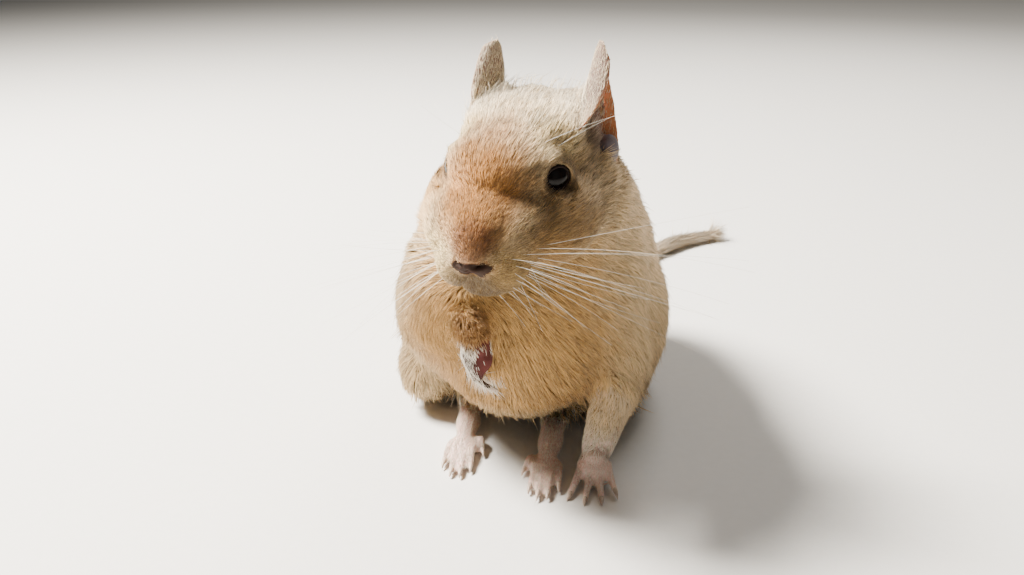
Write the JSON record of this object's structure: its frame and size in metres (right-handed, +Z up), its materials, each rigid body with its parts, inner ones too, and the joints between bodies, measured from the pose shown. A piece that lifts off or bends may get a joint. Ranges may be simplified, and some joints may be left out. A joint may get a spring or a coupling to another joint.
{
  "type": "degu",
  "caption": "Life-size still model of a sand-coloured degu, sitting up and looking ahead with its right forepaw raised to its chest.",
  "frame": {"origin": "bottom centre of the bounding box, on the floor under the rump", "axes": "+Z up, the animal faces -Y, its left side is +X, and its tail runs back along +Y and curls to +X"},
  "size_m": [0.098, 0.2346, 0.1076],
  "materials": {
    "coat": "soft sand-coloured fur",
    "skin": "thin pinkish skin with very short hair",
    "tail": "ringed skin with short grey-buff hair and a paler brush",
    "eye": "wet black gloss"
  },
  "bodies": {
    "root": {"head": "coat", "neck": "coat", "torso": "coat", "upper_arm_left": "coat", "upper_arm_right": "coat", "forearm_left": "coat", "forearm_right": "coat", "hind_leg_left": "coat", "hind_leg_right": "coat", "ear_left": "skin", "ear_right": "skin", "hand_left": "skin", "hand_right": "skin", "hind_foot_left": "skin", "hind_foot_right": "skin", "tail_base": "tail", "tail_mid": "tail", "tail_brush": "tail", "eye_left": "eye", "eye_right": "eye"}
  },
  "joints": []
}
